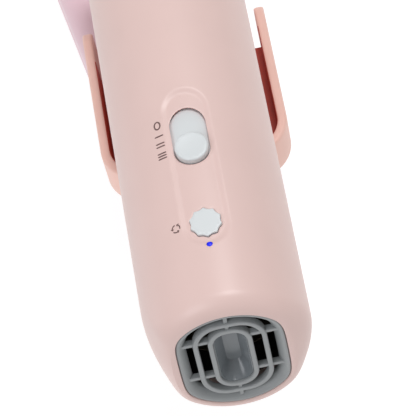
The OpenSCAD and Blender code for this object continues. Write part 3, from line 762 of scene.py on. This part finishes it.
rim = 0.35 * MM
button_rings = [button_ring(0, axis_z + barrel_r - 3.6 * MM), button_ring(0, button_top - rim)]
for a in np.linspace(0, math.pi / 2, 6)[1:]:
    button_rings.append(button_ring(rim * (1 - math.cos(a)), button_top - rim * (1 - math.sin(a))))
button_centre = np.array((0, button_y, button_top))
top_ring = button_rings[-1]
for share in (0.82, 0.6, 0.3):
    button_rings.append(button_centre + (top_ring - button_centre) * share)
button = to_mesh("mode_button_cap", [loft(button_rings, cap_start=True, cap_end=True)],
                 finishes["control_white"])
register(button, "button", ["mode_button"])
print("mode button", len(button.data.polygons), "faces")

# %% [markdown]
# The marks are printed on the round of the barrel, so they are drawn flat, in distance across and
# distance along, and then wrapped: the distance across becomes an angle. They stand a few hundredths
# above the skin.

# %% Printed marks
mark_s = -10.3 * MM
ink_lift, ink_root = 0.04 * MM, -0.05 * MM


def wrapped(points, lift):
    s, y = points[:, 0], points[:, 1]
    return around_axis(barrel_r + lift, s / barrel_r, y)


def printed(outline_out, outline_in=None, lift=ink_lift):
    """A thin printed shape, from an outline or from a pair of them."""
    if outline_in is None:
        rings = [wrapped(outline_out, h) for h in (ink_root, lift)]
        return loft(rings, cap_start=True, cap_end=True)
    section = ((0, ink_root), (0, lift), (1, lift), (1, ink_root))
    return band(outline_out, outline_in, section, wrapped)


def stroke(w, t, centre, count=12):
    """A printed bar across the barrel, in short pieces so that it follows the round."""
    rings = []
    for u in np.linspace(-1, 1, count):
        half = t / 2 * math.sqrt(max(1 - abs(u) ** 8, 0.15))
        corners = np.array([(u * w / 2, -half), (u * w / 2, half)]) + np.array(centre)
        rings.append(np.concatenate([wrapped(corners, ink_root), wrapped(corners[::-1], ink_lift)]))
    return loft(rings, cap_start=True, cap_end=True)


def oval(w, h, centre, count=48):
    a = np.linspace(0, 2 * math.pi, count, endpoint=False)
    return np.array(centre) + np.stack([w / 2 * np.cos(a), h / 2 * np.sin(a)], 1)


# %% [markdown]
# The speed marks are a ring for off, then one, two and three bars. They stand in a row beside the slot.

# %% Speed marks
stroke_t = 0.5 * MM
mark_w = 3.3 * MM
zero = (mark_s, -30.2 * MM)
zero_w, zero_h = 2.6 * MM, 3.3 * MM
marks = [printed(oval(zero_w, zero_h, zero), oval(zero_w - 2 * stroke_t, zero_h - 2 * stroke_t, zero))]
for bars, y, pitch in ((1, -34.4 * MM, 0), (2, -37.9 * MM, 1.2 * MM), (3, -42.2 * MM, 1.0 * MM)):
    for i in range(bars):
        marks.append(stroke(mark_w, stroke_t, (mark_s, y + (i - (bars - 1) / 2) * pitch)))


# %% [markdown]
# The mark beside the button is three bent arrows that chase each other. An arrow is an arc of ink and a
# small pointed head, drawn three times, a third of a turn apart.

# %% Mode mark
def cycle_arrow(a0, a1, centre, r=1.4 * MM, t=0.4 * MM):
    """A bent arrow from angle a0 to a1, its head at the end."""
    a = np.linspace(a0, a1, 14)
    arc = np.stack([np.cos(a), np.sin(a)], 1)
    section = ((r + t / 2, ink_root), (r + t / 2, ink_lift), (r - t / 2, ink_lift), (r - t / 2, ink_root))
    rings = [[wrapped(np.array([p * reach + np.array(centre)]), h)[0] for reach, h in section] for p in arc]
    tip = a1 + 0.5
    head = np.array([(math.cos(a1) * (r + 1.6 * t), math.sin(a1) * (r + 1.6 * t)),
                     (math.cos(tip) * r, math.sin(tip) * r),
                     (math.cos(a1) * (r - 1.6 * t), math.sin(a1) * (r - 1.6 * t))]) + np.array(centre)
    return [loft(rings, cap_start=True, cap_end=True), printed(head)]


icon_centre = (-10.1 * MM, -70.7 * MM)
for k in range(3):
    a0 = math.radians(100 + 120 * k)
    marks += cycle_arrow(a0, a0 + math.radians(70), icon_centre)
marks_obj = to_mesh("printed_marks", marks, ink)
register(marks_obj, "barrel")
print(len(marks), "printed strokes")

# %% [markdown]
# The lamp is a small turned lens with a domed top. It fills its hole in the shell, and its dome stands
# within a few tenths of a millimetre of the skin.

# %% Indicator lamp
lamp_lo, lamp_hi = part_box("lamp_lens")
lamp_top = lamp_hi[2]
lens_r, dome = lamp_r * 0.98, 0.35 * MM
lamp_points = [(lens_r, lamp_lo[2]), (lens_r, lamp_top - dome)]
for a in np.linspace(0, math.pi / 2, 7)[1:]:
    lamp_points.append((max(lens_r * math.cos(a), 0.02 * MM), lamp_top - dome * (1 - math.sin(a))))
lamp = to_mesh("indicator_lens", [turned(lamp_points, (0, lamp_y), 40)], finishes["lamp_blue"])
register(lamp, "barrel", ["lamp_lens"])
print("lamp lens", len(lamp.data.polygons), "faces")

# %% [markdown]
# The cradle is a tray in a U. Its wall is one band that runs forward along the left ear, round the
# front under the barrel and back along the right ear. Its top is cut to the barrel's round at the
# front, and rolls down at the end of each ear. The floor and the saddle that carries the barrel belong
# to the same moulding.

# %% Cradle
cradle_lo, cradle_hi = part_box("hinge_cradle")
cradle_t = 3.6 * MM
floor_rear = 32.6 * MM
ear_ends = (cradle_hi[1], floor_rear + 12.3 * MM)
corner = 14 * MM
ear_round = 8 * MM
floor_top = cradle_lo[2] + cradle_t
rim_z = cradle_hi[2]


def cradle_path(inset):
    """The wall's line from the left ear's end to the right ear's end."""
    half, r, front = cradle_hi[0] - inset, corner - inset, cradle_lo[1] + inset
    sides = []
    for side, rear in zip((-1, 1), ear_ends):
        ys = rear - ear_round * (1 - np.cos(np.linspace(0, math.pi / 2, 10)))
        line = [(half, y) for y in ys] + [(half, y) for y in np.linspace(ys[-1], front + r, 24)[1:]]
        a = np.linspace(0, math.pi / 2, 20)[1:]
        line += [(half - r + r * math.cos(b), front + r - r * math.sin(b)) for b in a]
        line += [(x, front) for x in np.linspace(half - r, 0, 22)[1:]]
        sides.append([(side * x, y) for x, y in line])
    return np.array(sides[0] + sides[1][-2::-1])


def wall_top(path):
    """The height of the wall along its line."""
    x, y = path[:, 0], path[:, 1]
    under = axis_z - np.sqrt(np.maximum((barrel_r + 0.25 * MM) ** 2 - x ** 2, 0))
    under = np.where((np.abs(x) < barrel_r) & (y < 0), under, rim_z)
    rear = np.where(x < 0, ear_ends[0], ear_ends[1])
    past = np.clip((y - (rear - ear_round)) / ear_round, 0, 1)
    return np.minimum(under, rim_z) - ear_round * (1 - np.sqrt(1 - past ** 2))


# %% [markdown]
# The wall's section is carried along the line: straight up the outside, over a rounded top edge and
# down the inside. The bottom stays flat on the floor, and the section closes at the end of each ear.

# %% The cradle's wall
outer, inner = cradle_path(0), cradle_path(cradle_t)
top = wall_top((outer + inner) / 2)
edge = 1.1 * MM
wall_rings = []
rounding = [(edge / cradle_t * (1 - math.cos(a)), edge * (1 - math.sin(a)))
            for a in (0.4, 0.8, 1.2, math.pi / 2)]
wall_section = [(0.0, None), (0.0, edge)] + rounding
wall_section += [(1 - s, drop) for s, drop in rounding[::-1]] + [(1.0, edge), (1.0, None)]
for s, drop in wall_section:
    z = np.full(len(top), cradle_lo[2]) if drop is None else np.maximum(top - drop, cradle_lo[2] + 0.1 * MM)
    wall_rings.append(np.column_stack([outer + (inner - outer) * s, z]))
wall_part = loft(wall_rings, closed=False, loop=True)
n_path = len(outer)
ends = [tuple(j * n_path for j in range(len(wall_rings)))[::-1],
        tuple(j * n_path + n_path - 1 for j in range(len(wall_rings)))]
wall_part = (wall_part[0], wall_part[1] + ends)


# %% [markdown]
# The floor follows the same line, half way through the wall. The saddle is a block on it whose top is
# hollowed to the barrel's round, so the barrel lies in it and can't roll.

# %% Floor and saddle
def floor_part():
    path = cradle_path(cradle_t * 0.5)
    outline = np.array([p for p in path if p[1] < floor_rear])
    edge_x = cradle_hi[0] - cradle_t / 2
    outline = np.concatenate([[(-edge_x, floor_rear)], outline, [(edge_x, floor_rear)]])
    rings = [np.column_stack([outline, np.full(len(outline), z)]) for z in (cradle_lo[2], floor_top)]
    return loft(rings, cap_start=True, cap_end=True)


def saddle_part():
    half, reach = 17 * MM, 18 * MM
    xs = np.linspace(-half, half, 33)
    tops = axis_z - np.sqrt((barrel_r + 0.02 * MM) ** 2 - xs ** 2)
    rings = []
    for y in (-reach, reach):
        low = np.stack([xs[::-1], np.full(33, y), np.full(33, floor_top - 0.5 * MM)], 1)
        high = np.stack([xs, np.full(33, y), tops], 1)
        rings.append(np.concatenate([high, low]))
    return loft(rings, cap_start=True, cap_end=True)


# %% [markdown]
# The inner faces of the tray are a deep brick red, painted shade for the U's shadowed hollow. Which face is
# inner is found from its distance to the outside of the U, not from a list.

# %% Cradle put together
cradle = to_mesh("hinge_cradle_tray", [wall_part, floor_part(), saddle_part()],
                 finishes["cradle_salmon"], sharp=40)
# the inner faces get the painted shade colour
cradle.data.materials.append(finishes["cradle_inside"])
for face in cradle.data.polygons:
    x, y, z = face.center
    side_x, front_y = cradle_hi[0] - abs(x), y - cradle_lo[1]
    if side_x < corner and front_y < corner:
        depth = corner - math.hypot(corner - side_x, corner - front_y)
    else:
        depth = min(side_x, front_y)
    in_tray = y < floor_rear + 0.01 * MM and z > cradle_lo[2] + MM
    face.material_index = int(depth > cradle_t - 0.3 * MM and in_tray)
register(cradle, "barrel", ["hinge_cradle"])
print("cradle", len(cradle.data.polygons), "faces")

# %% [markdown]
# The handle is a flat tapered bar with round ends. Its outline is two arcs and the two straight lines
# that touch them both. The long edges are rolled by drawing the outline in as it rises. Top and bottom
# shells meet at mid height, where a shallow groove shows the joint.

# %% Handle shells
handle_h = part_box("handle_top_shell")[1][2]
head_r, tail_r, handle_len = 26.7 * MM, 16 * MM, 130 * MM
handle_roll = 7 * MM
swing = math.radians(15)
handle_wall = 2.4 * MM
taper = math.asin((head_r - tail_r) / handle_len)


def swung(points):
    c, s = math.cos(swing), math.sin(swing)
    x, y = points[:, 0], points[:, 1]
    return np.column_stack([c * x - s * y, s * x + c * y, points[:, 2]])


def handle_outline(inset):
    """The bar's outline: the head's arc, one side, the tail's arc and the other side."""
    points = []
    r1, r2 = head_r - inset, tail_r - inset
    head = np.linspace(math.pi - taper, 2 * math.pi + taper, 57)
    points += [(r1 * math.cos(a), r1 * math.sin(a)) for a in head]
    p, q = points[-1], (r2 * math.cos(taper), handle_len + r2 * math.sin(taper))
    points += [(p[0] + (q[0] - p[0]) * t, p[1] + (q[1] - p[1]) * t) for t in np.linspace(0, 1, 28)[1:-1]]
    tail = np.linspace(taper, math.pi - taper, 41)
    points += [(r2 * math.cos(a), handle_len + r2 * math.sin(a)) for a in tail]
    p, q = points[-1], points[0]
    points += [(p[0] + (q[0] - p[0]) * t, p[1] + (q[1] - p[1]) * t) for t in np.linspace(0, 1, 28)[1:-1]]
    return np.array(points)


# %% [markdown]
# A shell starts with the groove at the joint, rises along its side, rolls over the edge and runs in to
# the round hole in its flat face. Each point of the hole follows the angle of its own outline point, so
# nothing twists.

# %% The two shells of the handle
def handle_shell(name, up, hole_r, node):
    """up is 1 for the top shell and -1 for the bottom one."""
    mid = handle_h / 2
    groove = 0.25 * MM
    rings = []
    for inset, rise in ((groove, 0), (groove * 0.3, groove * 0.4), (0, groove * 1.2),
                        (0, mid - handle_roll)):
        rings.append(np.column_stack([handle_outline(inset), np.full(150, mid + up * rise)]))
    for a in np.linspace(0, math.pi / 2, 11)[1:]:
        rings.append(np.column_stack([handle_outline(handle_roll * (1 - math.cos(a))),
                                      np.full(150, mid + up * (mid - handle_roll * (1 - math.sin(a))))]))
    last = rings[-1]
    centre_turn = np.arctan2(last[:, 1], last[:, 0])
    hole = hole_r * np.stack([np.cos(centre_turn), np.sin(centre_turn)], 1)
    flat = np.full(150, mid + up * mid)
    for t in (0.12, 1.0):
        rings.append(np.column_stack([last[:, :2] * (1 - t) + hole * t, flat]))
    shell = to_mesh(name, [loft([swung(r) for r in rings])], finishes["handle_lilac"], outward=False)
    face_away(shell, (-handle_len / 2 * math.sin(swing), handle_len / 2 * math.cos(swing), mid))
    thicken(shell, handle_wall, 35)
    register(shell, "handle", [node])
    print(name, len(shell.data.polygons), "faces")


handle_shell("handle_top_skin", 1, 8.1 * MM, "handle_top_shell")
handle_shell("handle_bottom_skin", -1, 13.1 * MM, "handle_bottom_shell")

# %% [markdown]
# The intake cover repeats one wedge: a spoke and the slot beside it, with every second slot shorter.
# Geometry Nodes place that wedge round the barrel's axis, so the number of slots is one input. The
# wedge knows only its own share of the turn, and instancing closes the ring. The rest of the cover is a
# turned ring.

# %% Intake cover
cover_lo, cover_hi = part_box("filter_cover")
inlet_slots = 20
slot_half = 1.2 * MM
inlet_in, inlet_out, stagger = 6.5 * MM, 20.5 * MM, 5 * MM
plate_t = 2.3 * MM
axis_point = Vector((0, 0, axis_z))


def tapered_bar(r0, r1, half0, half1, angle):
    """A flat bar on the cover's rear plate, between two radii, its rear edges rounded."""
    edge = 0.35 * MM
    rings = []
    for inset, drop in ((0, plate_t), (0, edge), (edge * 0.3, edge * 0.3), (edge, 0)):
        y = cover_hi[1] - drop
        corners = ((-half0 + inset, r0), (half0 - inset, r0), (half1 - inset, r1), (-half1 + inset, r1))
        rings.append([(x * math.cos(angle) + r * math.sin(angle), y,
                       r * math.cos(angle) - x * math.sin(angle)) for x, r in corners])
    return loft(rings, cap_start=True, cap_end=True)


def wedge():
    """Two spokes and the filled root of every second slot, about the Y axis."""
    half_pitch = math.pi / inlet_slots

    def half_width(r):
        return r * math.tan(half_pitch) - slot_half

    tip_r, end_r = inlet_in + 1.7 * MM, inlet_out + 0.4 * MM
    parts = [tapered_bar(tip_r, end_r, max(half_width(tip_r), 0.08 * MM), half_width(end_r),
                         half_pitch * (2 * k + 1)) for k in (0, 1)]
    root, fill = inlet_in + stagger, slot_half * 1.9
    parts.append(tapered_bar(inlet_in - 0.3 * MM, root, half_width(inlet_in) + fill, half_width(root) + fill,
                             half_pitch * 2))
    return parts


# %% [markdown]
# The node group takes a piece, a count and a material. It lays that many points on one spot, turns an
# instance at each one by its share of a full turn, and makes the ring real.

# %% A ring made with Geometry Nodes
def instance_round(source, count, material):
    """Repeats a piece about the Y axis with Geometry Nodes and returns the ring as a plain mesh."""
    tree = bpy.data.node_groups.new("ring_of_pieces", "GeometryNodeTree")
    tree.interface.new_socket("Geometry", in_out="OUTPUT", socket_type="NodeSocketGeometry")
    sockets = {}
    for label, kind in (("Piece", "Object"), ("Count", "Int"), ("Material", "Material")):
        made = tree.interface.new_socket(label, in_out="INPUT", socket_type="NodeSocket" + kind)
        sockets[label] = made.identifier
    node = tree.nodes.new
    inputs, output = node("NodeGroupInput"), node("NodeGroupOutput")
    points, info = node("GeometryNodeMeshLine"), node("GeometryNodeObjectInfo")
    turn_by = node("ShaderNodeCombineXYZ")
    points.inputs["Offset"].default_value = (0, 0, 0)
    index, share, angle = node("GeometryNodeInputIndex"), node("ShaderNodeMath"), node("ShaderNodeMath")
    share.operation, angle.operation = "DIVIDE", "MULTIPLY"
    angle.inputs[1].default_value = 2 * math.pi
    place, real, paint = (node("GeometryNodeInstanceOnPoints"), node("GeometryNodeRealizeInstances"),
                          node("GeometryNodeSetMaterial"))
    wires = (
        (inputs.outputs["Piece"], info.inputs["Object"]),
        (inputs.outputs["Count"], points.inputs["Count"]),
        (index.outputs[0], share.inputs[0]),
        (inputs.outputs["Count"], share.inputs[1]),
        (share.outputs[0], angle.inputs[0]),
        (angle.outputs[0], turn_by.inputs["Y"]),
        (points.outputs["Mesh"], place.inputs["Points"]),
        (info.outputs["Geometry"], place.inputs["Instance"]),
        (turn_by.outputs[0], place.inputs["Rotation"]),
        (place.outputs[0], real.inputs[0]),
        (real.outputs[0], paint.inputs["Geometry"]),
        (inputs.outputs["Material"], paint.inputs["Material"]),
        (paint.outputs[0], output.inputs["Geometry"]))
    for a, b in wires:
        tree.links.new(a, b)
    host = bpy.data.objects.new("ring_host", bpy.data.meshes.new("ring_host"))
    scene.collection.objects.link(host)
    modifier = host.modifiers.new("ring", "NODES")
    modifier.node_group = tree
    for label, value in (("Piece", source), ("Count", count), ("Material", material)):
        modifier[sockets[label]] = value
    bpy.context.view_layer.update()
    bake_modifiers(host)
    return host


# %% [markdown]
# One wedge goes in and the whole ring comes out. The wedge itself is then removed.

# %% The ring of slots
piece = to_mesh("one_wedge", wedge(), finishes["barrel_pink"])
ring = instance_round(piece, inlet_slots // 2, finishes["barrel_pink"])
bpy.data.objects.remove(piece, do_unlink=True)
ring.data.transform(Matrix.Translation(axis_point))
spokes = [(tuple(v.co for v in ring.data.vertices), [tuple(p.vertices) for p in ring.data.polygons])]
bpy.data.objects.remove(ring, do_unlink=True)


# %% [markdown]
# What is left of the cover is round: the rim with its rolled rear edge, and the hub in the middle.

# %% Rim and hub of the cover
def turned_y(profile, count=160):
    """Revolves (radius, y) points about the barrel's axis."""
    angles = np.linspace(0, 2 * math.pi, count, endpoint=False)
    return loft([around_axis(r, angles, y) for r, y in profile], loop=True)


y0, y1, roll = cover_lo[1], cover_hi[1], 4 * MM
cover_wall, cover_edge = 2.4 * MM, 0.25 * MM
rim_profile = [(barrel_r - cover_wall, y0), (barrel_r - cover_edge, y0), (barrel_r, y0 + cover_edge),
               (barrel_r, y1 - roll)]
rim_profile += [(barrel_r - roll * (1 - math.cos(a)), y1 - roll * (1 - math.sin(a)))
                for a in np.linspace(0, math.pi / 2, 10)[1:]]
rim_profile += [(inlet_out + 0.3 * MM, y1), (inlet_out, y1 - 0.3 * MM), (inlet_out, y1 - plate_t),
                (barrel_r - cover_wall, y1 - plate_t)]
hub_middle, hub_edge = 0.05 * MM, 0.3 * MM
hub_profile = [(hub_middle, y1 - plate_t), (inlet_in, y1 - plate_t), (inlet_in, y1 - hub_edge),
               (inlet_in - hub_edge, y1), (inlet_in - 2.2 * MM, y1), (inlet_in - 2.6 * MM, y1 - hub_edge),
               (hub_middle, y1 - hub_edge)]
cover = to_mesh("intake_cover", [turned_y(rim_profile), turned_y(hub_profile)] + spokes,
                finishes["barrel_pink"])
register(cover, "filter", ["filter_cover"])
print("intake cover", len(cover.data.polygons), "faces")

# %% [markdown]
# The cap under the pivot is a turned disc, dished a little underneath. It rides on the handle.

# %% Pivot cap
cap_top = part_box("pivot_cap")[1][2]
cap_r = 13 * MM
cap_wall, cap_edge, cap_plate = 1.5 * MM, 0.7 * MM, 2.4 * MM
cap_profile = [(cap_r - cap_wall, cap_top), (cap_r, cap_top), (cap_r, cap_edge)]
for a in (0.5, 1.0, math.pi / 2):
    cap_profile.append((cap_r - cap_edge * (1 - math.cos(a)), cap_edge * (1 - math.sin(a))))
cap_profile += [(cap_r * t, 0.5 * MM * (1 - t * t)) for t in (0.85, 0.6, 0.3, 0.02)]
cap_profile += [(0.02 * cap_r, cap_plate), (cap_r - cap_wall, cap_plate)]
angles = np.linspace(0, 2 * math.pi, 120, endpoint=False)
cap_rings = [np.stack([r * np.cos(angles), r * np.sin(angles), np.full(120, z)], 1) for r, z in cap_profile]
cap = to_mesh("pivot_cap_cover", [loft(cap_rings, loop=True)], finishes["handle_lilac"])
register(cap, "handle", ["pivot_cap"])
print("pivot cap", len(cap.data.polygons), "faces")

# %% [markdown]
# The cord gland is a soft bush in the end of the handle, with a flange outside and an open bore for the
# cord.

# %% Cord gland
tail_end = handle_len + tail_r
cord_bore, gland_body, flange_r = 3.6 * MM, 5.9 * MM, 7.6 * MM
gland_profile = [(cord_bore, -12 * MM), (gland_body, -12 * MM), (gland_body, 0.1 * MM), (flange_r, 0.1 * MM),
                 (flange_r, 1.1 * MM), (flange_r - 0.35 * MM, 1.75 * MM), (flange_r - 1.0 * MM, 2.05 * MM),
                 (cord_bore + 0.9 * MM, 2.05 * MM), (cord_bore + 0.25 * MM, 1.8 * MM), (cord_bore, 1.2 * MM)]
gland_rings = [swung(np.stack([r * np.cos(angles), np.full(120, tail_end + y),
                               handle_h / 2 + r * np.sin(angles)], 1)) for r, y in gland_profile]
gland = to_mesh("cord_gland_bush", [loft(gland_rings, loop=True)], finishes["gland_grey"])
register(gland, "handle", ["cord_gland"])
print("cord gland", len(gland.data.polygons), "faces")

# %% [markdown]
# Everything that no new piece replaces is drawn as it was packed. It only gets the finish of its
# material slot.

# %% Finishes on the nodes that are kept
replaced = {"barrel_left_shell", "barrel_right_shell", "outlet_grille", "outlet_cup", "speed_slider",
            "mode_button", "lamp_lens", "hinge_cradle", "handle_top_shell", "handle_bottom_shell",
            "filter_cover", "pivot_cap", "cord_gland"}
for part in frame["record"]["subparts"]:
    node = frame["nodes"][part["node"]]
    if part["node"] not in replaced:
        node.data.materials.clear()
        node.data.materials.append(finishes[part["material_slot"]])
print(len(frame["nodes"]) - len(replaced), "nodes kept as packed")

# %% [markdown]
# The studio is a white table under a white tent. The tent lights everything evenly, a soft light from
# the upper right models the round of the barrel, and a weaker one from the left lifts its shadow side.
# The table glows a little, which keeps its shadows pale.

# %% Studio
world = bpy.data.worlds.new("tent")
world.use_nodes = True
world.node_tree.nodes["Background"].inputs[0].default_value = (1.0, 1.0, 1.0, 1)
world.node_tree.nodes["Background"].inputs[1].default_value = 0.40
scene.world = world
scene.view_settings.view_transform = "Standard"

floor_shader = Shader("white_table")
floor_material = floor_shader.set(Base_Color=(0.35, 0.35, 0.35, 1), Roughness=0.9,
                                  Emission_Color=(1.0, 1.0, 1.0, 1), Emission_Strength=0.78)
half = 3.0
floor = to_mesh("table_top", [([(-half, -half, 0), (half, -half, 0), (half, half, 0), (-half, half, 0)],
                               [(0, 1, 2, 3)])], floor_material, outward=False)
print("table", 2 * half, "m wide")


# %% [markdown]
# A soft light is a square panel aimed at the middle of the barrel. The key is small enough to draw a
# bright band along the top, and the fill is a little cooler than the key.

# %% Lights
def soft_light(name, place, aim, w, power, colour=(1, 1, 1)):
    light = bpy.data.lights.new(name, "AREA")
    light.size, light.energy, light.color = w, power, colour
    obj = bpy.data.objects.new(name, light)
    obj.location = place
    obj.rotation_euler = (Vector(aim) - Vector(place)).to_track_quat("-Z", "Y").to_euler()
    scene.collection.objects.link(obj)


middle = (0, -0.03, axis_z)
soft_light("key", (0.17, 0.12, 0.9), middle, 0.3, 3.5)
soft_light("fill", (-0.45, -0.4, 0.7), middle, 0.4, 1.8, (0.95, 0.96, 1.0))
